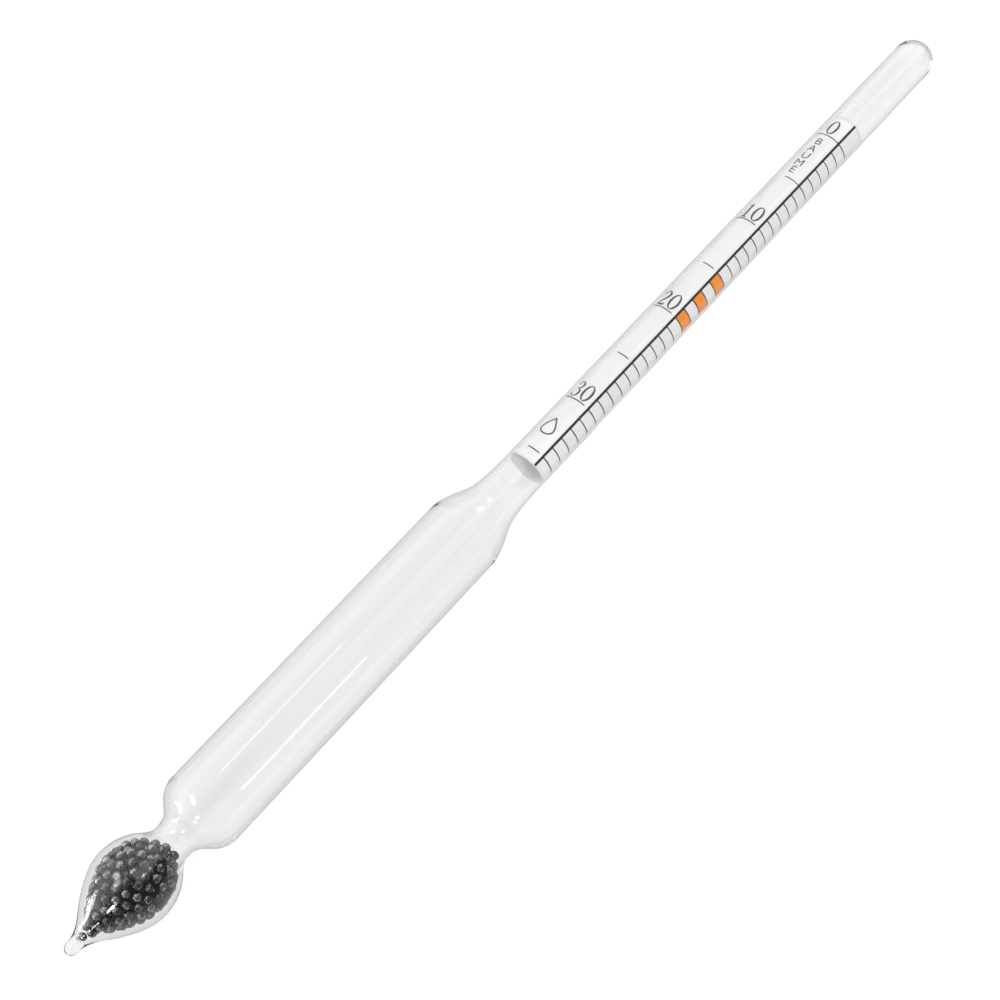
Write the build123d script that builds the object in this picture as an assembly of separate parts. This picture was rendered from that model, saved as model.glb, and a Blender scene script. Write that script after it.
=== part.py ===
from build123d import *
import math
import os

import numpy as np

# A blown-glass hydrometer with a paper scale, for liquids denser than water. It lies on its side
# along X, its weighted bulb towards -X and its stem towards +X, resting on the plane Z = 0 with
# the bulb and the float, which are equally wide. Millimetres. Every x below is measured along the
# glass from the tip of the bulb, and every r from the axis of the glass; place() moves the
# finished pieces to the row frame, whose origin is below the middle of the glass.

# Glass, outside
LENGTH = 275.0
FLOAT_R = 8.5  # the bulb's widest ring has this radius too
STEM_R = 4.8
WAIST_R = 4.05
TIP_R = 1.45
BULB_X = 16.7  # widest ring of the bulb
WAIST_X = 27.0  # the bulb is welded to the float tube here
FLOAT_X0 = 35.8  # first and last ring of the float's straight cylinder
FLOAT_X1 = 110.0
STEM_X = 131.0  # the stem tube is welded to the shoulder here

# Glass, walls
FLOAT_WALL = 0.87
STEM_WALL = 0.4
WAIST_WALL = 1.0
BULB_WALL = 1.0
DOME_WALL = 0.75
TIP_SOLID = 3.1  # the drawn-off tip is solid for this length

# Paper scale, rolled into a tube with a lap along the back
PAPER_X0 = 129.9
PAPER_X1 = 243.2
PAPER_R = 4.32
PAPER_THICK = 0.1
LAP_STEP = 0.13  # how much further in the lapped edge lies
LAP_START = 335.0  # degrees round the roll where the paper begins to step inwards
LAP_RAMP = 15.0
LAP_WIDTH = 28.0
SEAM_LEAN = 29.4  # degrees from straight down to the seam, turning towards +Y

# Adhesive dabs between the paper and the glass
DAB_LENGTH = 6.0
DAB_START = 4.0  # degrees round the roll from the seam
DAB_ARC = 26.0
DAB_INSET = 3.0  # from each end of the paper

# Lead shot and the cement at its mouth
SHOT_R = 1.0
SHOT_GAP = 0.035  # between neighbours, and between shot and glass
SHOT_SEED = 14
SHOT_COUNT = 290
SHOT_LAYER = 1.5  # axial depth of one layer node
POUR_X = (8, 26)  # the balls start as a loose cloud along this stretch of the axis
POUR_R = 2.5
SETTLE_STEPS = 2600
RELAX_STEPS = 1400  # the balls only ease apart in these
SHAKE = 0.05  # how far a ball is knocked at each step while the pack settles
SHAKE_DROP = 0.02  # how far it sinks at each step
CEMENT_X0 = 23.0
CEMENT_X1 = 26.2
CEMENT_CLEAR = 0.012  # round each ball
MENISCUS_R = 4.5
MENISCUS_DEPTH = 0.6


def outer_outline():
    """The outside of the glass, from the tip to the top of the stem, as three runs of edges."""
    tip = [(0, 0), (0.75, 1.2), (2.3, TIP_R), (3.95, 1.95), (5.7, 3.05), (7.4, 4.4), (9.5, 5.85)]
    bulb = [*tip, (12.3, 7.4), (BULB_X, FLOAT_R)]
    to_waist = [(BULB_X, FLOAT_R), (20.75, 7.8), (23.6, 6.2), (25.1, 4.9), (WAIST_X, WAIST_R)]
    hip = [(WAIST_X, WAIST_R), (29.3, 4.5), (30.8, 5.9), (32.4, 7.45), (33.9, 8.2), (FLOAT_X0, FLOAT_R)]
    neck = [(118.0, 5.85), (121.5, 5.15), (STEM_X, STEM_R)]
    shoulder = [(FLOAT_X1, FLOAT_R), (112.0, 8.15), (114.8, 7.2), *neck]
    return (
        [curve(bulb, rise=True), curve(to_waist)],
        [curve(hip), Line((FLOAT_X0, FLOAT_R), (FLOAT_X1, FLOAT_R)), curve(shoulder)],
        [
            Line((STEM_X, STEM_R), (LENGTH - STEM_R, STEM_R)),
            CenterArc((LENGTH - STEM_R, 0), STEM_R, 90, -90),
        ],
    )


def inner_outline():
    """The inside of the glass, in the same three runs."""
    bore, bulb_r = FLOAT_R - FLOAT_WALL, FLOAT_R - BULB_WALL
    waist, stem = WAIST_R - WAIST_WALL, STEM_R - STEM_WALL
    dome_x = LENGTH - DOME_WALL - stem
    tip = [(TIP_SOLID, 0), (4.2, 1.15), (5.7, 1.9), (7.4, 3.1), (9.5, 4.6)]
    bulb = [*tip, (12.3, 6.23), (BULB_X, bulb_r)]
    to_waist = [(BULB_X, bulb_r), (20.5, 6.95), (23.2, 5.6), (24.8, 4.1), (WAIST_X, waist)]
    hip = [(WAIST_X, waist), (29.6, 3.5), (31.4, 5.0), (33.0, 6.47), (34.4, 7.2), (36.4, bore)]
    neck = [(117.4, 5.15), (121.0, 4.6), (STEM_X, stem)]
    shoulder = [(FLOAT_X1 - 0.4, bore), (111.6, 7.2), (114.2, 6.42), *neck]
    return (
        [curve(bulb, rise=True), curve(to_waist)],
        [curve(hip), Line(hip[-1], shoulder[0]), curve(shoulder)],
        [Line((STEM_X, stem), (dome_x, stem)), CenterArc((dome_x, 0), stem, 90, -90)],
    )


def curve(points, rise=False):
    """A smooth edge that ends along the axis, and starts along it too or, with rise, square to it."""
    start = (0, 1) if rise else (1, 0)
    return Spline(*points, tangents=[start, (1, 0)], tangent_scalars=(1, 1))


def turned(edges):
    """The solid that a closed outline makes when it turns once round the axis."""
    return revolve(make_face(edges), axis=Axis.X)


def place(piece):
    """Moves a piece from the glass's own axis to the row frame."""
    return Pos(-LENGTH / 2, 0, FLOAT_R) * piece


def glass_piece(outside, inside):
    """One blown tube, between its outside and its inside runs of edges."""
    start = Line(inside[0] @ 0, outside[0] @ 0)
    end = Line(inside[-1] @ 1, outside[-1] @ 1)
    return turned([*outside, *inside, start, end])


def cavity_samples(inside, count=90):
    """Points on the inner wall round the shot, as arrays of x and r."""
    points = [edge @ t for edge in inside for t in np.linspace(0, 1, count)]
    return np.array([[p.X, p.Y] for p in points])


def pack_shot(wall):
    """Centres of the balls, shaken down into the bulb's tip until none touches another or the glass."""
    rng = np.random.default_rng(SHOT_SEED)
    reach = 2 * SHOT_R + SHOT_GAP
    stand_off = SHOT_R + SHOT_GAP
    x = rng.uniform(*POUR_X, SHOT_COUNT)
    turn = rng.uniform(0, 2 * math.pi, SHOT_COUNT)
    r = POUR_R * rng.uniform(0, 1, SHOT_COUNT) ** 0.5
    balls = np.column_stack([x, r * np.cos(turn), r * np.sin(turn)])
    rows = np.arange(SHOT_COUNT)
    lowest = TIP_SOLID + SHOT_R
    for step in range(SETTLE_STEPS + RELAX_STEPS):
        calm = max(0.0, 1 - step / SETTLE_STEPS)
        balls[:, 0] -= SHAKE_DROP * (calm > 0)
        balls += rng.normal(0, SHAKE * calm, balls.shape)
        apart = balls[:, None] - balls[None]
        far = np.linalg.norm(apart, axis=2)
        np.fill_diagonal(far, np.inf)
        short = np.clip(reach - far, 0, None)
        balls += 0.5 * (apart * (short / far)[..., None]).sum(1)
        balls[:, 0] = np.clip(balls[:, 0], lowest, WAIST_X)
        radius = np.hypot(balls[:, 1], balls[:, 2]) + 1e-9
        room = np.interp(balls[:, 0], wall[:, 0], wall[:, 1]) - stand_off
        balls[:, 1:] *= np.clip(room / radius, 0, 1)[:, None]
        radius = np.hypot(balls[:, 1], balls[:, 2]) + 1e-9
        from_wall = np.stack([balls[:, 0, None] - wall[:, 0], radius[:, None] - wall[:, 1]], axis=2)
        span = np.linalg.norm(from_wall, axis=2)
        near = span.argmin(1)
        gap, away = span[rows, near], from_wall[rows, near]
        push = np.clip(stand_off / np.maximum(gap, 1e-6) - 1, 0, 1)
        balls[:, 0] += push * away[:, 0]
        balls[:, 1:] *= (1 + push * away[:, 1] / radius)[:, None]
    return balls[np.argsort(balls[:, 0])]


def paper_edge(radius):
    """One face of the rolled paper, seen end on: a ring, a ramp and the edge lapped inside it."""
    inner = radius - LAP_STEP
    lap_at = LAP_START + LAP_RAMP
    start, end = math.radians(LAP_START), math.radians(lap_at)
    ramp = Spline(
        (radius * math.cos(start), radius * math.sin(start)),
        (inner * math.cos(end), inner * math.sin(end)),
        tangents=[(-math.sin(start), math.cos(start)), (-math.sin(end), math.cos(end))],
    )
    return [CenterArc((0, 0), radius, 0, LAP_START), ramp, CenterArc((0, 0), inner, lap_at, LAP_WIDTH)]


def scale_paper():
    """The rolled strip, its seam at the back."""
    outside, inside = paper_edge(PAPER_R), paper_edge(PAPER_R - PAPER_THICK)
    ends = [Line(outside[0] @ 0, inside[0] @ 0), Line(outside[-1] @ 1, inside[-1] @ 1)]
    roll = extrude(make_face([*outside, *inside, *ends]), PAPER_X1 - PAPER_X0)
    return Pos(PAPER_X0, 0, 0) * Rot(SEAM_LEAN, 0, 0) * (Rot(0, 90, 0) * roll)


def adhesive_dab(x):
    """A thin patch of adhesive that fills the gap between the paper's outer edge and the glass."""
    gap = STEM_R - STEM_WALL - PAPER_R
    patch = Pos(x + DAB_LENGTH / 2, PAPER_R + gap / 2) * Rectangle(DAB_LENGTH, gap)
    dab = revolve(patch, axis=Axis.X, revolution_arc=DAB_ARC)
    return Rot(SEAM_LEAN + DAB_START - 90, 0, 0) * dab


def ball(centre, radius):
    """A ball whose poles lie along the glass."""
    return Pos(*centre) * Rot(0, 90, 0) * Sphere(radius)


def ballast_cement(cavity, balls):
    """Clear resin round the uppermost balls, with a hollow meniscus towards the float."""
    slab = Pos((CEMENT_X0 + CEMENT_X1) / 2, 0, 0) * Box(CEMENT_X1 - CEMENT_X0, 3 * FLOAT_R, 3 * FLOAT_R)
    meniscus = ball((CEMENT_X1 - MENISCUS_DEPTH + MENISCUS_R, 0, 0), MENISCUS_R)
    pockets = [ball(centre, SHOT_R + CEMENT_CLEAR) for centre in balls if centre[0] > CEMENT_X0 - SHOT_R]
    return (cavity & slab).cut(meniscus, *pockets)


def shot_layers(balls):
    """The balls grouped by their place along the axis, each layer a list of separate solids."""
    lowest = balls[0][0] - SHOT_R
    layers = {}
    for centre in balls:
        number = int((centre[0] - lowest) / SHOT_LAYER)
        layers.setdefault(number, []).append(ball(centre, SHOT_R))
    return [layers[number] for number in sorted(layers)]


def main():
    os.makedirs("parts", exist_ok=True)
    outside, inside = outer_outline(), inner_outline()
    parts = {}
    for name, out_run, in_run in zip(("ballast_bulb", "float_tube", "stem_tube"), outside, inside):
        parts[name] = glass_piece(out_run, in_run)
    parts["scale_paper"] = scale_paper()
    parts["scale_adhesive_top"] = adhesive_dab(PAPER_X1 - DAB_INSET - DAB_LENGTH)
    parts["scale_adhesive_bottom"] = adhesive_dab(PAPER_X0 + DAB_INSET)

    bulb_end = inside[0][-1] @ 1
    cavity = turned([*inside[0], Line(bulb_end, (bulb_end.X, 0)), Line((bulb_end.X, 0), inside[0][0] @ 0)])
    balls = pack_shot(cavity_samples([*inside[0], inside[1][0]]))
    parts["ballast_cement"] = ballast_cement(cavity, balls)
    for number, layer in enumerate(shot_layers(balls), 1):
        parts[f"lead_shot_layer_{number:02d}"] = Compound(children=layer)

    for name, piece in parts.items():
        export_step(place(piece), f"parts/{name}.step")


main()
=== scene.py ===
import math
import random

import bmesh
import bpy
import numpy as np
from mathutils import Matrix, Vector, noise

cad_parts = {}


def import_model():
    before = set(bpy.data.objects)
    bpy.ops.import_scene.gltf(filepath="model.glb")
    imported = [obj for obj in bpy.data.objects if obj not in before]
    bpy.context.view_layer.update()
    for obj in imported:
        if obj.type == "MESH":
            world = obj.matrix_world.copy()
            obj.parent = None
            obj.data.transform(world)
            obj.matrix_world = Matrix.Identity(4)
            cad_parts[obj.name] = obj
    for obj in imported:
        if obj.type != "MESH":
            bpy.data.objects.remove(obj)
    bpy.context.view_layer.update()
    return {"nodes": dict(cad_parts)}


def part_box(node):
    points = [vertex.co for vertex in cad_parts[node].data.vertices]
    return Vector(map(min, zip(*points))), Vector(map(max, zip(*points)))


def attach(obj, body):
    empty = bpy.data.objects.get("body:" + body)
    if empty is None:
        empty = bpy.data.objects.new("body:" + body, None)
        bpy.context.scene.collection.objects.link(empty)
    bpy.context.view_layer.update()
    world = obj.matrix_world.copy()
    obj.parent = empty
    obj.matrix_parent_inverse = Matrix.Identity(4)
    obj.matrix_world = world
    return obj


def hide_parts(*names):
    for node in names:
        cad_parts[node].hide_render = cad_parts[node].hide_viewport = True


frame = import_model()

# A glass hydrometer lying on a white floor. Lengths in this file are millimetres, and places along
# the object are measured from the tip of the bulb, as in part.py; world() turns them into the
# frame's metres. Round the object, an angle is measured from straight up towards -Y.

MM = 0.001
BULB_LOW, BULB_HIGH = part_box("ballast_bulb")
PAPER_LOW, PAPER_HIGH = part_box("scale_paper")
TIP = BULB_LOW.x
AXIS_Z = (BULB_LOW.z + BULB_HIGH.z) / 2

# Glass: the same outlines as part.py
FLOAT_R = 8.5
STEM_R = 4.8
STEM_BORE = 4.4
STEM_END = 270.2
DOME_BORE_X = 269.85
SIDES = 144
GLASS_TINT = (0.985, 0.985, 0.985)  # the colour that thick glass turns
GLASS_GREY = 1300.0  # how fast it does: the absorption per metre of a channel whose tint is 0
INNER_EASE = 0.02  # the bore stands this far outside what it holds, so that no two faces coincide
FLOAT_SPAN = (36, 112)  # where the float's bore runs
UNEVEN_OUTSIDE = -0.012  # how far the outside wanders; the sign only turns its waves over
UNEVEN_FLOAT = 0.022  # how far the float's bore does
UNEVEN_BORE = 0.01  # and the bore elsewhere

# Paper scale
PAPER_X0 = (PAPER_LOW.x - TIP) / MM
PAPER_X1 = (PAPER_HIGH.x - TIP) / MM
PAPER_R = 4.31
PAPER_THICK = 0.1
LAP_STEP = 0.13
LAP_START = 335.0
LAP_RAMP = 15.0
LAP_WIDTH = 28.0
PAPER_COLUMNS = 200
PAPER_ROWS = 80
END_LEAN = 0.08  # how far its ends are cut out of true
PAPER_SOFT = 0.012  # how far its face wanders inwards
PRINT_TURN = 29.4  # where the scale's long line runs; the seam is opposite

# Adhesive dabs
DAB_R = 4.328  # the adhesive lies on the paper, whose face wanders just inside this
DAB_EDGE = 0.007
DAB_DOME = 0.055  # how much thicker its middle is than its edge
DAB_HALF = 12.5  # half its width, in degrees round the paper
DAB_ROWS = 25
DAB_STEPS = 14

# Print
ZERO_X = 236.6
DEGREE = 3.025  # one degree, at 0
CLOSING = 0.0016  # the degrees close up a little towards the foot of the stem
DEGREES = 35
LINE_W = 0.54
TICK_W = 0.28
TICK_LENGTH = 6.7
INK_LIFT = 0.008
INK_THICK = 0.012
INK_LEVEL = 0.002  # strokes that cross lie at different levels, so that no two faces coincide
BAND_LIFT = 0.003
BAND_THICK = 0.004
DIGIT_H = 4.35
DIGIT_W = 2.1
THICK_STROKE = 0.5
THIN_STROKE = 0.23
FIVE_LENGTH = 3.9  # the lines on the other side of the long line, at the fives and the tens
TEN_LENGTH = 8.3
LINE_GAP = 1.05  # bare paper between those lines and the middle of the long line
NARROW_GAPS = {0: 0.2, 5: 0.35}  # the two degrees whose lines come closer to it
LINE_INSETS = (0.2, 0.12)  # how far the long line stops short of the paper's lower and upper end
OVERLAP = 0.03  # how far the degree lines reach into the long line
DIGIT_RISE = 0.45  # the figures stand this far above their line
ZERO_U = -3.4  # the middles of the figures, measured round the paper from the long line
TENS_U = -4.75
ONES_U = -2.25
NAME_U = -3.7
NAME_SIZE = 2.9
DROP_U = -3.4
DROP_DEGREE = 32.8
DROP_SIZE = 4.4
DROP_LINE = 0.32
BANDS = (15, 17, 19)  # the degrees whose intervals are coloured
BAND_OVERLAP = 0.05  # how far they reach into the long line
BAND_SHORT = 0.1  # how much shorter a band is than a degree line
BAND_GAP = 0.12  # how much narrower a band is than the interval between two lines

# Shot and cement
SHOT_SIZES = (0.90, 0.985)  # least and greatest radius, as a share of the CAD ball's
SHOT_SQUEEZE = 0.97  # the most that a ball is squeezed along an axis
DENT_BROAD = 0.012  # in radii
DENT_SMALL = 0.006
FLAT_EDGE = 0.93  # the cosine of the angle from the middle of a flat to its edge
FLAT_SINK = 0.5  # how steeply it sinks inside that edge
BRIDGE_START = 0.2  # balls whose middles are up to this far below the CAD cement are bridged too
BRIDGE_GAP = 0.22  # no bead joins two balls that are further apart than this
BRIDGE_RADII = (0.30, 0.42)  # least and greatest radius of a bead
BRIDGE_GRIP = 0.07  # how far a bead reaches over each ball
BRIDGE_UNEVEN = 0.12  # a share of its size

# Studio. Brightness 1 is white. The world light is set separately for each kind of ray, as a
# photographer sets screens and cards; below, left is the +Y side and right the -Y side.
FLOOR_REACH = 4.0  # metres from the middle to each edge
FLOOR_WHITE = 0.05
FLOOR_GLOW = 0.94  # most of the floor's white is its own, so that no shadow falls on it
FLOOR_OUTSIDE = 0.3  # how bright the floor is where the outside of the glass mirrors it
FLOOR_INSIDE = 0.74  # and where it is mirrored inside the glass, or by the shot
BACKDROP = 1.0
FILL_LOW = 1.66  # light that lands on the paper and the floor from near the horizon
FILL_TOP = 0.52  # what is added to it overhead
FILL_LEFT = -0.25  # and on the left, where there is less
EDGE_RIGHT = 0.3  # the horizon on the right, as it is seen bent through the glass
EDGE_LEFT = 0.55  # what is added to it on the left
SEEN_RIGHT = 0.2  # overhead on the right, as the shot and the bore mirror it
SEEN_LEFT = 1.5  # what is added to it on the left
GLOSS_BASE = 0.15  # what the outside of the glass mirrors
GLOSS_LEFT = 0.05  # what is added to it on the left
GLOSS_TOP = 1.9  # a soft box overhead, mirrored as the broad pale band along the glass
GLOSS_HAZE = 0.75  # a large pale screen on the left, which the straight tubes do not mirror
GLOSS_SPOTS = [  # soft lamps that the curved glass mirrors: direction, half angle in degrees, brightness
    ((-0.20, 0.40, 0.89), 11, 9),
    ((-0.36, 0.24, 0.90), 12, 7),
    ((0.86, 0.06, 0.50), 9, 8),
]
BOUNCES = 160  # light is mirrored many times inside a glass wall

# Camera
LENS = 61.2
AIM_X = 121  # the place along the object that the camera looks at
AIM_ASIDE = (0.727, -0.687, 0)  # the camera then moves a little this way across its view
AIM_SHIFT = 0.6
CAMERA_BACK = (-0.3288, -0.2804, 0.9018)  # from the object to the camera
CAMERA_DISTANCE = 0.349  # metres


def world(x, turn, r):
    """The frame's point at x along the object, turn radians round it and r from its axis."""
    return (TIP + x * MM, -r * math.sin(turn) * MM, AXIS_Z + r * math.cos(turn) * MM)


# ---------------------------------------------------------------- curves


def spline(points, count, start=None, end=None):
    """Evenly spaced samples of a smooth curve through the points, with unit end tangents if given."""
    p = np.array(points, float)
    step = np.linalg.norm(np.diff(p, axis=0), axis=1)
    t = np.concatenate([[0], np.cumsum(step)])
    n = len(p)
    a, b = np.zeros((n, n)), np.zeros((n, p.shape[1]))
    for i in range(1, n - 1):
        h0, h1 = step[i - 1], step[i]
        a[i, i - 1], a[i, i], a[i, i + 1] = h1, 2 * (h0 + h1), h0
        b[i] = 3 * (h1 / h0 * (p[i] - p[i - 1]) + h0 / h1 * (p[i + 1] - p[i]))
    for row, near, h, tangent in ((0, 1, step[0], start), (n - 1, n - 2, step[-1], end)):
        if tangent is None:
            a[row, row], a[row, near] = 2, 1
            b[row] = 3 * (p[near] - p[row]) / h * (1 if row == 0 else -1)
        else:
            a[row, row] = 1
            b[row] = tangent
    slope = np.linalg.solve(a, b)

    def at(s):
        i = np.clip(np.searchsorted(t, s, side="right") - 1, 0, n - 2)
        h = step[i][:, None]
        q = ((s - t[i]) / step[i])[:, None]
        near = (2 * q**3 - 3 * q**2 + 1) * p[i] + (q**3 - 2 * q**2 + q) * h * slope[i]
        return near + (3 * q**2 - 2 * q**3) * p[i + 1] + (q**3 - q**2) * h * slope[i + 1]

    fine = at(np.linspace(0, t[-1], 40 * n))
    run = np.concatenate([[0], np.cumsum(np.linalg.norm(np.diff(fine, axis=0), axis=1))])
    even = np.interp(np.linspace(0, run[-1], count), run, np.linspace(0, t[-1], 40 * n))
    return at(even)


def straight(start, end, count):
    """Points along a straight run."""
    return np.linspace(start, end, count)


def quarter(x, r, count):
    """A quarter circle that closes a tube on its axis."""
    turn = np.linspace(0, math.pi / 2, count)
    return np.column_stack([x + r * np.sin(turn), r * np.cos(turn)])


def chain(*runs):
    """Several runs as one, each joint kept once."""
    return np.vstack([runs[0], *[run[1:] for run in runs[1:]]])


def outer_profile():
    """The outside of the glass, (x, r) from the tip to the closed end of the stem."""
    bulb = [(0, 0), (0.75, 1.2), (2.3, 1.45), (3.95, 1.95), (5.7, 3.05), (7.4, 4.4), (9.5, 5.85)]
    bulb += [(12.3, 7.4), (16.7, FLOAT_R)]
    to_waist = [(16.7, FLOAT_R), (20.75, 7.8), (23.6, 6.2), (25.1, 4.9), (27, 4.05)]
    hip = [(27, 4.05), (29.3, 4.5), (30.8, 5.9), (32.4, 7.45), (33.9, 8.2), (35.8, FLOAT_R)]
    shoulder = [(110, FLOAT_R), (112, 8.15), (114.8, 7.2), (118, 5.85), (121.5, 5.15), (131, STEM_R)]
    along = (1, 0)
    return chain(
        spline(bulb, 64, (0, 1), along),
        spline(to_waist, 40, along, along),
        spline(hip, 42, along, along),
        straight(hip[-1], shoulder[0], 50),
        spline(shoulder, 48, along, along),
        straight(shoulder[-1], (STEM_END, STEM_R), 66),
        quarter(STEM_END, STEM_R, 18),
    )


def inner_profile():
    """Its bore, likewise; the tip is solid up to where the bore starts."""
    bulb = [(3.1, 0), (4.2, 1.15), (5.7, 1.9), (7.4, 3.1), (9.5, 4.6), (12.3, 6.23), (16.7, 7.5)]
    to_waist = [(16.7, 7.5), (20.5, 6.95), (23.2, 5.6), (24.8, 4.1), (27, 3.05)]
    hip = [(27, 3.05), (29.6, 3.5), (31.4, 5.0), (33, 6.47), (34.4, 7.2), (36.4, 7.63)]
    shoulder = [(109.6, 7.63), (111.6, 7.2), (114.2, 6.42), (117.4, 5.15), (121, 4.6), (131, STEM_BORE)]
    along = (1, 0)
    return chain(
        spline(bulb, 54, (0, 1), along),
        spline(to_waist, 36, along, along),
        spline(hip, 40, along, along),
        straight(hip[-1], shoulder[0], 50),
        spline(shoulder, 46, along, along),
        straight(shoulder[-1], (DOME_BORE_X, STEM_BORE), 62),
        quarter(DOME_BORE_X, STEM_BORE, 16),
    )


# ---------------------------------------------------------------- meshes


def finish_mesh(bm, name, mat, replaces=(), smooth=True):
    """A piece made from a bmesh, on the one body, with its material."""
    mesh = bpy.data.meshes.new(name)
    for face in bm.faces:
        face.smooth = smooth
    bm.to_mesh(mesh)
    bm.free()
    mesh.materials.append(mat)
    piece = bpy.data.objects.new(name, mesh)
    bpy.context.scene.collection.objects.link(piece)
    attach(piece, "root")
    if replaces:
        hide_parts(*replaces)
    return piece


def wander(x, turn, waves):
    """A gentle unevenness of hand-worked glass, between about -1 and 1."""
    return sum(w * math.sin(k * x + m * turn + shift) for w, k, m, shift in waves)


def lathe(bm, profile, inward, amount, waves):
    """A closed surface turned round the axis, its radius wandering by up to amount(x)."""
    rings = []
    for x, r in profile:
        if r < 1e-6:
            rings.append([bm.verts.new(world(x, 0, 0))])
            continue
        ring = []
        for i in range(SIDES):
            turn = 2 * math.pi * i / SIDES
            uneven = amount(x) * min(1, r / 2) * wander(x, turn, waves)
            ring.append(bm.verts.new(world(x, turn, r + uneven)))
        rings.append(ring)
    for a, b in zip(rings, rings[1:]):
        for i in range(SIDES):
            j = (i + 1) % SIDES
            if len(a) == 1:
                corners = [a[0], b[i], b[j]]
            elif len(b) == 1:
                corners = [a[i], b[0], a[j]]
            else:
                corners = [a[i], b[i], b[j], a[j]]
            bm.faces.new(corners if inward else corners[::-1])


def ribbon(bm, points, widths, closed=False, lift=INK_LIFT, thick=INK_THICK):
    """A thin solid strip on the paper along points (u, x), with a width at each point.

    u is the distance round the paper from the long line, and x is along the object."""
    p = np.array(points, float)
    w = np.broadcast_to(np.array(widths, float), (len(p),))
    if closed:
        ahead, behind = np.roll(p, -1, axis=0), np.roll(p, 1, axis=0)
    else:
        ahead, behind = np.vstack([p[1:], p[-1:]]), np.vstack([p[:1], p[:-1]])
    along = ahead - behind
    along /= np.linalg.norm(along, axis=1)[:, None]
    side = np.column_stack([-along[:, 1], along[:, 0]]) * w[:, None] / 2
    rows = []
    for left, right in zip(p + side, p - side):
        row = []
        for u, x in (left, right):
            for height in (lift + thick, lift):
                turn = math.radians(PRINT_TURN) + u / PAPER_R
                row.append(bm.verts.new(world(x, turn, PAPER_R + height)))
        rows.append(row)
    pairs = list(zip(rows, rows[1:]))
    if closed:
        pairs.append((rows[-1], rows[0]))
    for (lt, lb, rt, rb), (lt2, lb2, rt2, rb2) in pairs:
        bm.faces.new([lt, rt, rt2, lt2])
        bm.faces.new([lb, lb2, rb2, rb])
        bm.faces.new([lt, lt2, lb2, lb])
        bm.faces.new([rt, rb, rb2, rt2])
    if not closed:
        lt, lb, rt, rb = rows[0]
        bm.faces.new([lt, lb, rb, rt])
        lt, lb, rt, rb = rows[-1]
        bm.faces.new([lt, rt, rb, lb])


def solid_normals(bm):
    """Turns every face outwards."""
    bmesh.ops.recalc_face_normals(bm, faces=bm.faces)


# ---------------------------------------------------------------- materials


class Look:
    """A procedural material, built node by node on the Principled shader."""

    def __init__(self, name, **sockets):
        self.mat = bpy.data.materials.new(name)
        self.mat.use_nodes = True
        self.tree = self.mat.node_tree
        self.shader = self.tree.nodes["Principled BSDF"]
        self.place = self.add("ShaderNodeTexCoord").outputs["Object"]
        for socket, value in sockets.items():
            self.shader.inputs[socket.replace("_", " ")].default_value = value

    def add(self, kind, **settings):
        """A new node with its settings."""
        node = self.tree.nodes.new(kind)
        for key, value in settings.items():
            setattr(node, key, value)
        return node

    def link(self, source, target):
        self.tree.links.new(source, target)

    def stretched(self, scale):
        """The object's coordinates, each multiplied by its own scale."""
        mapping = self.add("ShaderNodeMapping")
        mapping.inputs["Scale"].default_value = scale
        self.link(self.place, mapping.inputs["Vector"])
        return mapping.outputs["Vector"]

    def noise(self, scale, detail=3.0, roughness=0.55, vector=None, distortion=0.0):
        node = self.add("ShaderNodeTexNoise")
        node.inputs["Scale"].default_value = scale
        node.inputs["Detail"].default_value = detail
        node.inputs["Roughness"].default_value = roughness
        node.inputs["Distortion"].default_value = distortion
        self.link(vector or self.place, node.inputs["Vector"])
        return node.outputs["Fac"]

    def cells(self, scale):
        node = self.add("ShaderNodeTexVoronoi")
        node.inputs["Scale"].default_value = scale
        self.link(self.place, node.inputs["Vector"])
        return node.outputs["Distance"]

    def ramp(self, source, *stops):
        """A colour ramp with stops (position, colour or grey)."""
        node = self.add("ShaderNodeValToRGB")
        band = node.color_ramp
        while len(band.elements) < len(stops):
            band.elements.new(0.5)
        for element, (position, colour) in zip(band.elements, stops):
            element.position = position
            element.color = (*colour, 1) if isinstance(colour, tuple) else (colour, colour, colour, 1)
        self.link(source, node.inputs["Fac"])
        return node.outputs["Color"]

    def mix(self, factor, source, colour):
        """The source, turning into a plain colour where factor is 1."""
        node = self.add("ShaderNodeMix", data_type="RGBA")
        self.link(factor, node.inputs[0])
        self.link(source, node.inputs[6])
        node.inputs[7].default_value = (*colour, 1)
        return node.outputs[2]

    def bump(self, height, strength, distance):
        """Adds a bump to the ones already there. distance is in millimetres."""
        node = self.add("ShaderNodeBump")
        node.inputs["Strength"].default_value = strength
        node.inputs["Distance"].default_value = distance * MM
        self.link(height, node.inputs["Height"])
        normal = self.shader.inputs["Normal"]
        if normal.is_linked:
            self.link(normal.links[0].from_socket, node.inputs["Normal"])
        self.link(node.outputs["Normal"], normal)

    def to(self, socket, source):
        """Drives one input of the shader."""
        self.link(source, self.shader.inputs[socket])


def glass_look():
    """Clear soda-lime glass: faint drawn streaks, slight ripples and a few smears."""
    look = Look("clear_glass", IOR=1.5, Transmission_Weight=1.0)
    depth = look.add("ShaderNodeVolumeAbsorption")
    depth.inputs["Color"].default_value = (*GLASS_TINT, 1)
    depth.inputs["Density"].default_value = GLASS_GREY
    look.link(depth.outputs[0], look.tree.nodes["Material Output"].inputs["Volume"])
    streaks = look.noise(1.0, 3, vector=look.stretched((18, 420, 420)))
    clear = look.ramp(streaks, (0.3, (0.951, 0.950, 0.948)), (0.7, (0.965, 0.964, 0.962)))
    look.to("Base Color", clear)
    smears = look.noise(90, 4, distortion=1.5)
    look.to("Roughness", look.ramp(smears, (0.55, 0.0), (0.8, 0.02)))
    look.bump(look.noise(1.0, 2, vector=look.stretched((30, 160, 160))), 0.05, 0.05)
    return look.mat


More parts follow.
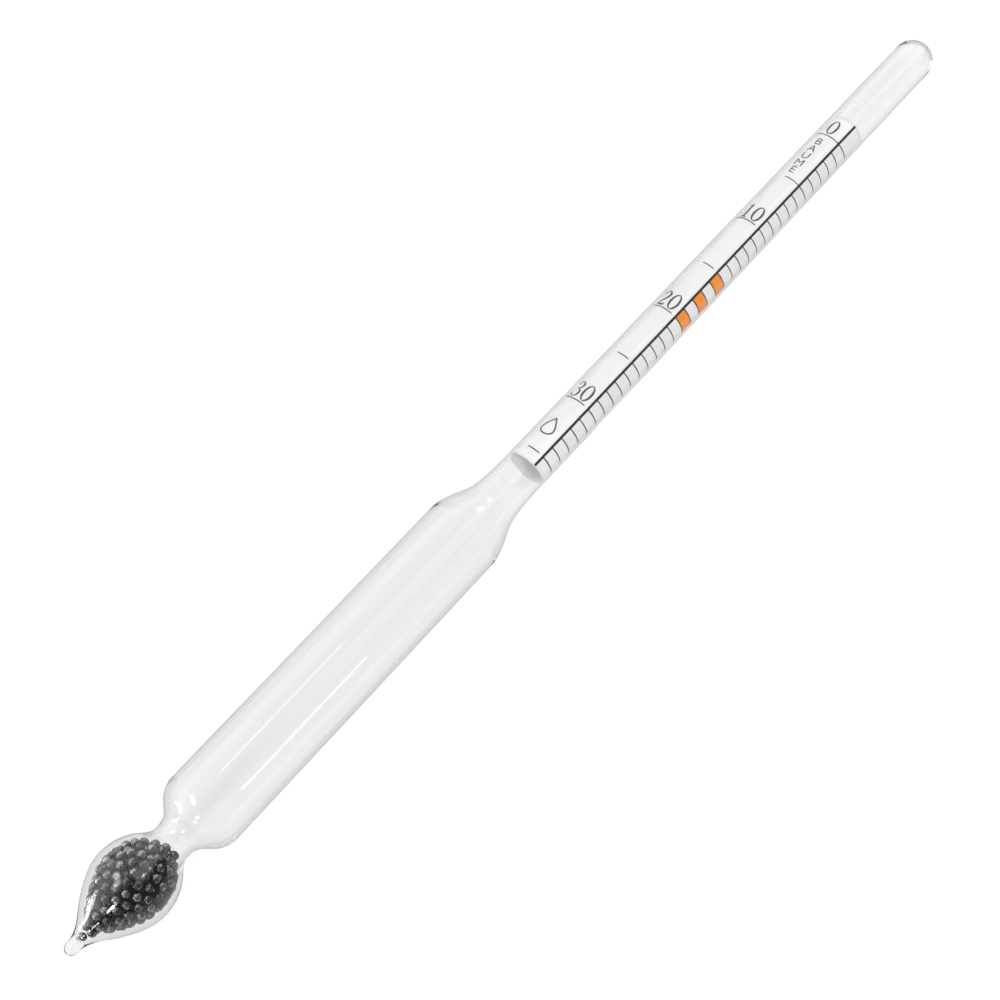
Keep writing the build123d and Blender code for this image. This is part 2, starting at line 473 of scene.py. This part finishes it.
def paper_look():
    """Matt white paper with short fibres, lightly mottled."""
    look = Look("scale_paper", Roughness=0.9, Specular_IOR_Level=0.3)
    through = look.shader.inputs  # some light comes through the thin sheet
    through["Subsurface Weight"].default_value = 0.6
    through["Subsurface Radius"].default_value = (1, 1, 1)
    through["Subsurface Scale"].default_value = 2 * PAPER_THICK * MM
    fibres = look.noise(1.0, 5, 0.7, look.stretched((2600, 5200, 5200)), 0.8)
    cloud = look.noise(420, 3)
    white = look.ramp(fibres, (0.3, (0.90, 0.905, 0.91)), (0.6, (0.955, 0.957, 0.955)))
    mottled = look.ramp(cloud, (0.35, 0.0), (0.75, 0.35))
    look.to("Base Color", look.mix(mottled, white, (0.92, 0.915, 0.89)))
    look.bump(fibres, 0.25, 0.02)
    look.bump(cloud, 0.15, 0.03)
    return look.mat


def ink_look(name, full, thin, tooth):
    """Printing ink on paper: denser and thinner spots that follow the paper's tooth."""
    look = Look(name, Roughness=0.6, Specular_IOR_Level=0.35)
    spots = look.noise(tooth, 4, 0.7)
    look.to("Base Color", look.ramp(spots, (0.35, full), (0.72, thin)))
    look.to("Roughness", look.ramp(look.noise(900, 2), (0.3, 0.5), (0.7, 0.72)))
    look.bump(spots, 0.2, 0.01)
    return look.mat


def lead_look():
    """Dull lead shot: a dark oxide skin, worn brighter in spots, with small dents."""
    look = Look("lead_shot", Metallic=1.0, Specular_Tint=(0.2, 0.2, 0.21, 1))
    balls = look.noise(380, 1)
    patches = look.noise(950, 3)
    grains = look.noise(4200, 4, 0.65)
    dark = look.ramp(grains, (0.35, (0.04, 0.04, 0.043)), (0.7, (0.16, 0.162, 0.167)))
    worn = look.mix(look.ramp(balls, (0.45, 0.0), (0.6, 0.7)), dark, (0.33, 0.332, 0.338))
    rubbed = look.ramp(patches, (0.56, 0.0), (0.68, 0.8))
    look.to("Base Color", look.mix(rubbed, worn, (0.6, 0.6, 0.61)))
    look.to("Roughness", look.ramp(grains, (0.3, 0.15), (0.75, 0.38)))
    look.bump(patches, 0.6, 0.06)
    look.bump(look.cells(1700), 0.6, 0.04)
    return look.mat


def cement_look():
    """Clear resin, faintly yellow, with a slightly rippled skin."""
    look = Look("ballast_cement", IOR=1.45, Transmission_Weight=1.0)
    cloud = look.noise(700, 3)
    look.to("Base Color", look.ramp(cloud, (0.3, (0.95, 0.94, 0.90)), (0.7, (0.98, 0.975, 0.95))))
    look.to("Roughness", look.ramp(cloud, (0.4, 0.0), (0.8, 0.08)))
    look.bump(look.cells(1400), 0.1, 0.02)
    return look.mat


def adhesive_look():
    """A thin smear of dried water glass, milky and slightly amber."""
    look = Look("scale_adhesive", IOR=1.45, Transmission_Weight=0.7)
    cloud = look.noise(900, 4, 0.6)
    look.to("Base Color", look.ramp(cloud, (0.3, (0.86, 0.80, 0.66)), (0.7, (0.93, 0.90, 0.82))))
    look.to("Roughness", look.ramp(cloud, (0.3, 0.15), (0.7, 0.4)))
    look.bump(cloud, 0.3, 0.02)
    return look.mat


# ---------------------------------------------------------------- pieces


def glass_envelope(mat):
    """The bulb, float and stem as one blown envelope, outside and bore."""
    rng = random.Random(7)
    bm = bmesh.new()
    # Each wave: weight, how fast it turns along x in radians a millimetre, waves round, shift
    outside = [(0.6 / m, rng.uniform(0.02, 0.11), m, rng.uniform(0, 6.28)) for m in (1, 2, 2, 3)]
    bore = [(0.6 / m, rng.uniform(0.03, 0.14), m, rng.uniform(0, 6.28)) for m in (1, 1, 2, 3, 4)]
    lathe(bm, outer_profile(), False, lambda x: UNEVEN_OUTSIDE, outside)
    eased = inner_profile()
    eased[:, 1] = np.where(eased[:, 1] > 1e-6, eased[:, 1] + INNER_EASE, 0)
    first, last = FLOAT_SPAN
    lathe(bm, eased, True, lambda x: UNEVEN_FLOAT if first < x < last else UNEVEN_BORE, bore)
    nodes = ("ballast_bulb", "float_tube", "stem_tube")
    return finish_mesh(bm, "glass_envelope", mat, replaces=nodes)


def paper_roll(mat):
    """The rolled strip, its lapped edge tucked inside at the back, its ends not quite true."""
    bm = bmesh.new()
    last = LAP_START + LAP_RAMP + LAP_WIDTH
    turns = np.linspace(0, last, PAPER_COLUMNS)
    ramp = np.clip((turns - LAP_START) / LAP_RAMP, 0, 1)
    ramp = ramp * ramp * (3 - 2 * ramp)
    columns = []
    for turn, tuck in zip(turns, ramp):
        column = []
        for i in range(PAPER_ROWS + 1):
            part = i / PAPER_ROWS
            lean = END_LEAN * math.sin(math.radians(turn) + 1.0)
            x = PAPER_X0 + part * (PAPER_X1 - PAPER_X0) + lean * (1 - 2 * part) * (part in (0, 1))
            x = min(max(x, PAPER_X0), PAPER_X1)
            angle = math.radians(turn)
            soft = PAPER_SOFT * math.sin(0.19 * x + 2 * angle) * math.sin(0.5 * angle)
            r = PAPER_R - LAP_STEP * tuck - abs(soft)
            round_it = math.radians(180 + PRINT_TURN - turn)
            outer = bm.verts.new(world(x, round_it, r))
            inner = bm.verts.new(world(x, round_it, r - PAPER_THICK))
            column.append((outer, inner))
        columns.append(column)
    for a, b in zip(columns, columns[1:]):
        for (ao, ai), (bo, bi), (ao2, ai2), (bo2, bi2) in zip(a, b, a[1:], b[1:]):
            bm.faces.new([ao, bo, bo2, ao2])
            bm.faces.new([ai, ai2, bi2, bi])
        for k in (0, -1):
            bm.faces.new([a[k][0], a[k][1], b[k][1], b[k][0]])
    for column in (columns[0], columns[-1]):
        for (o, i), (o2, i2) in zip(column, column[1:]):
            bm.faces.new([o, i, i2, o2])
    solid_normals(bm)
    return finish_mesh(bm, "scale_paper_roll", mat, replaces=("scale_paper",))


def degree_x(degree):
    """The place of a degree's line along the object."""
    return ZERO_X - DEGREE * degree + CLOSING * degree**2


def arc(bm, degree, start, end, width):
    """A line round the paper at one degree of the scale."""
    count = max(3, int(abs(end - start) / 0.2))
    u = np.linspace(start, end, count)
    ribbon(bm, [(v, degree_x(degree)) for v in u], width, lift=INK_LIFT + INK_LEVEL)


def scale_lines(mat):
    """The long line, the unit ticks right of it, and the fives and tens left of it."""
    bm = bmesh.new()
    low_inset, high_inset = LINE_INSETS
    x = np.linspace(PAPER_X0 + low_inset, PAPER_X1 - high_inset, 60)
    ribbon(bm, [(0, v) for v in x], LINE_W)
    solid_normals(bm)
    finish_mesh(bm, "scale_long_line", mat, smooth=False)
    bm = bmesh.new()
    for degree in range(DEGREES + 1):
        arc(bm, degree, LINE_W / 2 - OVERLAP, TICK_LENGTH, TICK_W)
        gap = NARROW_GAPS.get(degree, LINE_GAP)
        if degree % 10 == 0:
            arc(bm, degree, -gap, -TEN_LENGTH, TICK_W)
        elif degree % 5 == 0:
            arc(bm, degree, -gap, -FIVE_LENGTH, TICK_W)
    solid_normals(bm)
    finish_mesh(bm, "scale_degree_lines", mat, smooth=False)


def stroke(bm, points, count=26, level=0):
    """A pen stroke through points (u, x, width)."""
    path = spline(points, count)
    ribbon(bm, path[:, :2], np.maximum(path[:, 2], 0.05), lift=INK_LIFT + INK_LEVEL * level)


def digit(bm, figure, u, x):
    """One serif figure standing on x, centred at u, its top towards the stem's top."""

    def put(points):
        return [(u + a * DIGIT_W, x + b * DIGIT_H, w) for a, b, w in points]

    thick, thin = THICK_STROKE, THIN_STROKE
    if figure == "0":
        turns = np.linspace(0, 2 * math.pi, 48, endpoint=False)
        wide, tall = 0.42 * DIGIT_W, 0.47 * DIGIT_H
        path = [(u + wide * math.cos(t), x + DIGIT_H / 2 + tall * math.sin(t)) for t in turns]
        widths = [thin + (thick - thin) * abs(math.cos(t)) ** 1.5 for t in turns]
        ribbon(bm, path, widths, closed=True)
    elif figure == "1":
        stroke(bm, put([(0.02, 0.02, thick), (0.02, 0.5, thick), (0.02, 0.98, thick)]), 12)
        stroke(bm, put([(-0.3, 0.82, thin), (-0.14, 0.87, thin), (0.0, 0.95, thick * 0.8)]), 8, 1)
        stroke(bm, put([(-0.3, 0.02, thin), (0.02, 0.03, thin * 1.3), (0.34, 0.02, thin)]), 8, 2)
    elif figure == "2":
        top = [(-0.36, 0.76, thick * 0.9), (-0.31, 0.88, thin * 1.2), (-0.05, 0.975, thin * 1.2)]
        side = [(0.28, 0.84, thick), (0.26, 0.6, thick)]
        side += [(0.02, 0.36, thick * 0.75), (-0.38, 0.06, thin)]
        stroke(bm, put(top + side), 40)
        foot = [(-0.4, 0.04, thin), (-0.1, 0.06, thick * 0.9), (0.22, 0.05, thick), (0.4, 0.15, thin)]
        stroke(bm, put(foot), 16, 1)
        blob(bm, *put([(-0.33, 0.77, 0.4)])[0], level=2)
    elif figure == "3":
        upper = [(-0.33, 0.8, thin), (-0.24, 0.93, thin), (0.0, 0.975, thin * 1.2), (0.28, 0.8, thick)]
        upper += [(0.14, 0.6, thick * 0.6), (-0.1, 0.53, thin)]
        lower = [(-0.1, 0.53, thin), (0.18, 0.5, thick * 0.6), (0.36, 0.28, thick)]
        lower += [(0.12, 0.05, thick * 0.6), (-0.15, 0.025, thin), (-0.36, 0.14, thin)]
        stroke(bm, put(upper), 34)
        stroke(bm, put(lower), 38, 1)
        blob(bm, *put([(-0.31, 0.8, 0.34)])[0], level=2)
        blob(bm, *put([(-0.34, 0.15, 0.4)])[0], level=3)


def blob(bm, u, x, width, level=0):
    """A round spot of ink."""
    steps = np.linspace(-0.98, 0.98, 12)
    path = [(u, x + s * width / 2) for s in steps]
    ribbon(bm, path, [width * math.sqrt(1 - s * s) for s in steps], lift=INK_LIFT + INK_LEVEL * level)


def scale_numerals(mat):
    """0, 10, 20 and 30, each standing just above its line."""
    bm = bmesh.new()
    digit(bm, "0", ZERO_U, degree_x(0) + DIGIT_RISE)
    for tens in "123":
        base = degree_x(10 * int(tens)) + DIGIT_RISE
        digit(bm, tens, TENS_U, base)
        digit(bm, "0", ONES_U, base)
    solid_normals(bm)
    finish_mesh(bm, "scale_numerals", mat, smooth=False)


def scale_drop(mat):
    """A plain drop outline below the numerals."""
    bm = bmesh.new()
    x = degree_x(DROP_DEGREE)
    path = []
    for t in np.linspace(0, 2 * math.pi, 60, endpoint=False):
        aside = 0.46 * DROP_SIZE * math.sin(t) * math.sin(t / 2) ** 1.4
        path.append((DROP_U + aside, x + DROP_SIZE / 2 * math.cos(t)))
    ribbon(bm, path, DROP_LINE, closed=True)
    solid_normals(bm)
    finish_mesh(bm, "scale_drop_mark", mat, smooth=False)


def scale_unit(mat):
    """The scale's name down the paper between 0 and 5, one letter below another."""
    data = bpy.data.curves.new("unit_name", "FONT")
    data.body = "B\nA\nU\nM\nÉ"
    data.size = NAME_SIZE
    data.space_line = 0.86
    data.align_x = "CENTER"
    data.extrude = INK_THICK / 2
    data.resolution_u = 4
    text = bpy.data.objects.new("unit_name", data)
    bpy.context.scene.collection.objects.link(text)
    bpy.context.view_layer.update()
    mesh = bpy.data.meshes.new_from_object(text.evaluated_get(bpy.context.evaluated_depsgraph_get()))
    bm = bmesh.new()
    bm.from_mesh(mesh)
    bpy.data.objects.remove(text)
    bpy.data.meshes.remove(mesh)
    bmesh.ops.remove_doubles(bm, verts=bm.verts, dist=1e-5)
    for cut in np.arange(-1.5, 1.5, 0.25):  # narrow faces, so that the letters follow the round paper
        parts = [*bm.verts, *bm.edges, *bm.faces]
        bmesh.ops.bisect_plane(bm, geom=parts, plane_co=(cut, 0, 0), plane_no=(1, 0, 0))
    top = max(v.co.y for v in bm.verts)
    for v in bm.verts:
        u = NAME_U + v.co.x
        x = degree_x(0.5) - (top - v.co.y)
        lift = INK_LIFT + INK_THICK / 2 + v.co.z
        v.co = world(x, math.radians(PRINT_TURN) + u / PAPER_R, PAPER_R + lift)
    solid_normals(bm)
    finish_mesh(bm, "scale_unit_name", mat, smooth=False)


def scale_bands(mat):
    """Three coloured bands between 15 and 20, right of the long line."""
    bm = bmesh.new()
    for degree in BANDS:
        middle = degree_x(degree + 0.5)
        u = np.linspace(LINE_W / 2 - BAND_OVERLAP, TICK_LENGTH - BAND_SHORT, 34)
        ribbon(bm, [(v, middle) for v in u], DEGREE - BAND_GAP, lift=BAND_LIFT, thick=BAND_THICK)
    solid_normals(bm)
    finish_mesh(bm, "scale_colour_bands", mat, smooth=False)


def adhesive_dab(name, node, mat, seed):
    """A smear of adhesive with an uneven edge, between the paper and the glass."""
    low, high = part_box(node)
    x0, x1 = (low.x - TIP) / MM, (high.x - TIP) / MM
    y, z = (low.y + high.y) / 2, (low.z + high.z) / 2 - AXIS_Z
    middle = math.atan2(-y, z)
    rng = random.Random(seed)
    shifts = [rng.uniform(0, 6.28) for _ in range(3)]
    bm = bmesh.new()
    rows = []
    for i in range(DAB_ROWS):
        part = 2 * (i + 0.5) / DAB_ROWS - 1
        half = math.radians(DAB_HALF) * math.sqrt(1 - abs(part) ** 3.5)
        ends = []
        for sign in (-1, 1):
            waves = math.sin(4.1 * part + shifts[0] + sign) * math.sin(9 * part + shifts[1])
            uneven = 1 - 0.1 * (1 + waves)
            ends.append(middle + sign * half * uneven)
        row = []
        for j in range(DAB_STEPS + 1):
            turn = ends[0] + (ends[1] - ends[0]) * j / DAB_STEPS
            crown = math.sqrt(max(0, 1 - (2 * j / DAB_STEPS - 1) ** 2))
            dome = crown * math.sqrt(max(0, 1 - part**6))
            x = (x0 + x1) / 2 + part * (x1 - x0) / 2
            top = bm.verts.new(world(x, turn, DAB_R + DAB_EDGE + DAB_DOME * dome))
            base = bm.verts.new(world(x, turn, DAB_R))
            row.append((top, base))
        rows.append(row)
    for a, b in zip(rows, rows[1:]):
        for k in range(DAB_STEPS):
            bm.faces.new([a[k][0], a[k + 1][0], b[k + 1][0], b[k][0]])
            bm.faces.new([a[k][1], b[k][1], b[k + 1][1], a[k + 1][1]])
        for k in (0, -1):
            bm.faces.new([a[k][0], b[k][0], b[k][1], a[k][1]])
    for row in (rows[0], rows[-1]):
        for k in range(DAB_STEPS):
            bm.faces.new([row[k][0], row[k][1], row[k + 1][1], row[k + 1][0]])
    solid_normals(bm)
    finish_mesh(bm, name, mat, replaces=(node,))


def loose_parts(node):
    """Centre and radius of each separate ball in a CAD node."""
    mesh = frame["nodes"][node].data
    bm = bmesh.new()
    bm.from_mesh(mesh)
    bmesh.ops.remove_doubles(bm, verts=bm.verts, dist=1e-6)
    seen, parts = set(), []
    for vert in bm.verts:
        if vert in seen:
            continue
        group, stack = [], [vert]
        seen.add(vert)
        while stack:
            v = stack.pop()
            group.append(v.co.copy())
            for edge in v.link_edges:
                other = edge.other_vert(v)
                if other not in seen:
                    seen.add(other)
                    stack.append(other)
        low = Vector([min(p[i] for p in group) for i in range(3)])
        high = Vector([max(p[i] for p in group) for i in range(3)])
        parts.append(((low + high) / 2, (high - low).length / 2 / math.sqrt(3)))
    bm.free()
    return parts


def shot_layer(node, mat, seed, balls):
    """The balls of one layer: cast shot, each a little out of round, no two quite the same size."""
    rng = random.Random(seed)
    bm = bmesh.new()
    for centre, radius in loose_parts(node):
        size = radius * rng.uniform(*SHOT_SIZES)
        balls.append((centre, size))
        shift = Vector([rng.uniform(-50, 50) for _ in range(3)])
        stretch = Vector([rng.uniform(SHOT_SQUEEZE, 1.0) for _ in range(3)])
        ball = bmesh.ops.create_icosphere(bm, subdivisions=3, radius=1.0)["verts"]
        flats = [Vector([rng.gauss(0, 1) for _ in range(3)]).normalized() for _ in range(2)]
        for v in ball:
            out = v.co.normalized()
            dent = DENT_BROAD * noise.noise(out * 1.7 + shift)
            dent += DENT_SMALL * noise.noise(out * 4.5 + shift)
            for flat in flats:
                dent -= FLAT_SINK * max(0.0, out.dot(flat) - FLAT_EDGE)
            r = size * min(1.0, 1 + dent)
            v.co = centre + Vector(out[i] * stretch[i] * r for i in range(3))
    finish_mesh(bm, "shot" + node[len("lead_shot"):], mat, replaces=(node,))


def cement_bridges(balls, mat):
    """The resin that holds the topmost balls: a bead of it wherever two of them nearly touch."""
    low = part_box("ballast_cement")[0]
    upper = [ball for ball in balls if ball[0].x > low.x - BRIDGE_START * MM]
    rng = random.Random(21)
    bm = bmesh.new()
    for i, (a, size_a) in enumerate(upper):
        for b, size_b in upper[:i]:
            gap = (b - a).length - size_a - size_b
            if gap > BRIDGE_GAP * MM:
                continue
            out = (b - a).normalized()
            middle = a + out * (size_a + gap / 2)
            turn = out.to_track_quat("Z", "Y")
            wide = rng.uniform(*BRIDGE_RADII) * MM
            thick = gap / 2 + BRIDGE_GRIP * MM
            bead = bmesh.ops.create_icosphere(bm, subdivisions=3, radius=1.0)["verts"]
            for v in bead:
                flat = Vector((v.co.x * wide, v.co.y * wide, v.co.z * thick))
                uneven = 1 + BRIDGE_UNEVEN * noise.noise(v.co * 1.5 + out * 9)
                v.co = middle + turn @ (flat * uneven)
    finish_mesh(bm, "ballast_cement_beads", mat, replaces=("ballast_cement",))


# ---------------------------------------------------------------- stage, light and camera


def floor():
    """A plain white floor, whose edge is lost in the white backdrop."""
    mesh = bpy.data.meshes.new("floor")
    reach = FLOOR_REACH
    corners = [(-reach, -reach, 0), (reach, -reach, 0), (reach, reach, 0), (-reach, reach, 0)]
    mesh.from_pydata(corners, [], [(0, 1, 2, 3)])
    obj = bpy.data.objects.new("floor", mesh)
    bpy.context.scene.collection.objects.link(obj)
    look = Look("floor", Roughness=1.0, Specular_IOR_Level=0.0)
    look.to("Base Color", look.ramp(look.noise(12, 2), (0.3, FLOOR_WHITE), (0.7, FLOOR_WHITE + 0.02)))
    look.shader.inputs["Emission Color"].default_value = (1, 1, 1, 1)
    tree = look.mat.node_tree
    ray = tree.nodes.new("ShaderNodeLightPath").outputs

    def choose(depth, never, ever):
        """One value for a ray that has never been turned in this way, another for one that has."""
        node = tree.nodes.new("ShaderNodeMapRange")
        for socket, value in (("Value", ray[depth]), ("To Min", never), ("To Max", ever)):
            if isinstance(value, float):
                node.inputs[socket].default_value = value
            else:
                tree.links.new(value, node.inputs[socket])
        return node.outputs["Result"]

    mirrored = choose("Transmission Depth", FLOOR_OUTSIDE, FLOOR_INSIDE)
    look.to("Emission Strength", choose("Glossy Depth", FLOOR_GLOW, mirrored))
    mesh.materials.append(look.mat)


def studio_world():
    """The world light. Light that lands on the paper or the floor, light seen through the glass and
    light that the outside of the glass mirrors each have their own studio."""
    scene = bpy.context.scene
    scene.world = bpy.data.worlds.new("studio")
    scene.world.use_nodes = True
    tree = scene.world.node_tree
    back = tree.nodes["Background"]

    def op(kind, *values):
        """A math node on numbers or sockets."""
        node = tree.nodes.new("ShaderNodeMath")
        node.operation = kind
        for socket, value in zip(node.inputs, values):
            if isinstance(value, (int, float)):
                socket.default_value = value
            else:
                tree.links.new(value, socket)
        return node.outputs[0]

    def smooth(value, low, high):
        """0 up to low, 1 from high on, and smooth between."""
        node = tree.nodes.new("ShaderNodeMapRange")
        node.interpolation_type = "SMOOTHSTEP"
        node.inputs["From Min"].default_value = low
        node.inputs["From Max"].default_value = high
        tree.links.new(value, node.inputs["Value"])
        return node.outputs["Result"]

    def band(value, low, high, soft):
        """1 between two angles in degrees, fading over soft degrees at each side."""
        low, high, soft = math.radians(low), math.radians(high), math.radians(soft)
        rising = smooth(value, low - soft, low + soft)
        return op("SUBTRACT", rising, smooth(value, high - soft, high + soft))

    split = tree.nodes.new("ShaderNodeSeparateXYZ")
    tree.links.new(tree.nodes.new("ShaderNodeTexCoord").outputs["Generated"], split.inputs[0])
    x, y, z = split.outputs
    turn = op("ARCTAN2", op("MULTIPLY", y, -1.0), z)

    # Light that lands
    high, left = smooth(z, 0.0, 0.8), smooth(y, -0.2, 0.7)
    fill = op("MULTIPLY_ADD", left, FILL_LEFT, op("MULTIPLY_ADD", high, FILL_TOP, FILL_LOW))

    # The studio seen through the glass
    side = smooth(y, -0.35, 0.35)
    above = op("MULTIPLY_ADD", side, SEEN_LEFT, SEEN_RIGHT)
    edge_on = op("MULTIPLY_ADD", side, EDGE_LEFT, EDGE_RIGHT)
    seen = op("MULTIPLY_ADD", smooth(z, 0.05, 0.3), op("SUBTRACT", above, edge_on), edge_on)

    # The studio mirrored by the outside of the glass: the soft box from straight up to 30 degrees
    # right, and the haze down the left side, except where the straight tubes would mirror it
    box = op("MULTIPLY", band(turn, 0, 30, 9), smooth(x, 0.1, 0.2))
    beyond = op("SUBTRACT", smooth(x, 0.78, 0.88), smooth(x, -0.02, 0.12))
    haze = op("MULTIPLY", band(turn, -130, -25, 20), op("ADD", beyond, 1.0))
    gloss = op("MULTIPLY_ADD", box, GLOSS_TOP, GLOSS_BASE)
    gloss = op("MULTIPLY_ADD", side, GLOSS_LEFT, gloss)
    gloss = op("MULTIPLY_ADD", haze, GLOSS_HAZE, gloss)
    for toward, wide, bright in GLOSS_SPOTS:
        facing = op("ADD", op("MULTIPLY", x, toward[0]), op("MULTIPLY", y, toward[1]))
        facing = op("MULTIPLY_ADD", z, toward[2], facing)
        edge = math.cos(math.radians(wide))
        gloss = op("MULTIPLY_ADD", smooth(facing, edge, 1.0), bright, gloss)

    ray = tree.nodes.new("ShaderNodeLightPath").outputs
    landed = op("GREATER_THAN", ray["Diffuse Depth"], 0.5)
    clear = op("MULTIPLY_ADD", landed, op("SUBTRACT", fill, seen), seen)
    mirrored = op("SUBTRACT", ray["Is Glossy Ray"], ray["Is Transmission Ray"])  # bent rays are both
    light = op("MULTIPLY_ADD", mirrored, op("SUBTRACT", gloss, clear), clear)
    light = op("MULTIPLY_ADD", ray["Is Camera Ray"], op("SUBTRACT", BACKDROP, light), light)
    tree.links.new(light, back.inputs["Strength"])
    back.inputs["Color"].default_value = (1, 1, 1, 1)


def lamp(name, x, turn, distance, length, width, bright):
    """A soft box turn degrees round the object, distance from its axis at x, length along it.

    bright is how many times brighter than white it looks. The glass and the shot mirror it, but it
    adds no light to the paper and the floor, which the world lights."""
    data = bpy.data.lights.new(name, "AREA")
    data.shape = "RECTANGLE"
    data.size, data.size_y = length * MM, width * MM
    data.energy = bright * math.pi * data.size * data.size_y
    obj = bpy.data.objects.new(name, data)
    out = (Vector(world(0, math.radians(turn), 1)) - Vector(world(0, 0, 0))).normalized()
    axes = Matrix(((1, 0, 0), out.cross((1, 0, 0)), out)).transposed()
    obj.location = Vector(world(x, math.radians(turn), distance))
    obj.rotation_mode = "QUATERNION"
    obj.rotation_quaternion = axes.to_quaternion()
    obj.visible_diffuse = False
    obj.visible_camera = False
    bpy.context.scene.collection.objects.link(obj)


def camera():
    """The photograph's view: from high above the bulb's end, a little towards -Y."""
    data = bpy.data.cameras.new("camera")
    data.lens, data.sensor_width = LENS, 36
    cam = bpy.data.objects.new("camera", data)
    back = Vector(CAMERA_BACK).normalized()
    turn = back.to_track_quat("Z", "Y")
    aside = turn @ Vector(AIM_ASIDE) * AIM_SHIFT * MM
    cam.rotation_mode = "QUATERNION"
    cam.rotation_quaternion = turn
    cam.location = Vector(world(AIM_X, 0, 0)) + aside + back * CAMERA_DISTANCE
    data.clip_start, data.clip_end = 0.01, 20
    bpy.context.scene.collection.objects.link(cam)
    bpy.context.scene.camera = cam


# ---------------------------------------------------------------- the hydrometer and its studio

glass = glass_look()
paper = paper_look()
black = ink_look("scale_ink", (0.012, 0.012, 0.014), (0.05, 0.05, 0.052), 5200)
orange = ink_look("band_ink", (0.93, 0.26, 0.012), (0.96, 0.36, 0.04), 3800)

glass_envelope(glass)
paper_roll(paper)
scale_lines(black)
scale_numerals(black)
scale_drop(black)
scale_unit(black)
scale_bands(orange)
glue = adhesive_look()
adhesive_dab("adhesive_smear_top", "scale_adhesive_top", glue, seed=3)
adhesive_dab("adhesive_smear_bottom", "scale_adhesive_bottom", glue, seed=4)

lead = lead_look()
balls = []
for number, node in enumerate(sorted(n for n in frame["nodes"] if n.startswith("lead_shot"))):
    shot_layer(node, lead, seed=100 + number, balls=balls)

cement_bridges(balls, cement_look())

floor()
studio_world()
lamp("line_lamp", x=223, turn=55.8, distance=1000, length=140, width=90, bright=3)
lamp("side_lamp", x=-770, turn=-77.5, distance=558, length=520, width=180, bright=12)
lamp("near_strip", x=-420, turn=24, distance=280, length=170, width=56, bright=22)
lamp("far_strip", x=-1130, turn=40, distance=280, length=600, width=60, bright=18)
camera()
scene = bpy.context.scene
scene.view_settings.view_transform = "Standard"
scene.cycles.max_bounces = BOUNCES
scene.cycles.transmission_bounces = BOUNCES
scene.cycles.glossy_bounces = BOUNCES
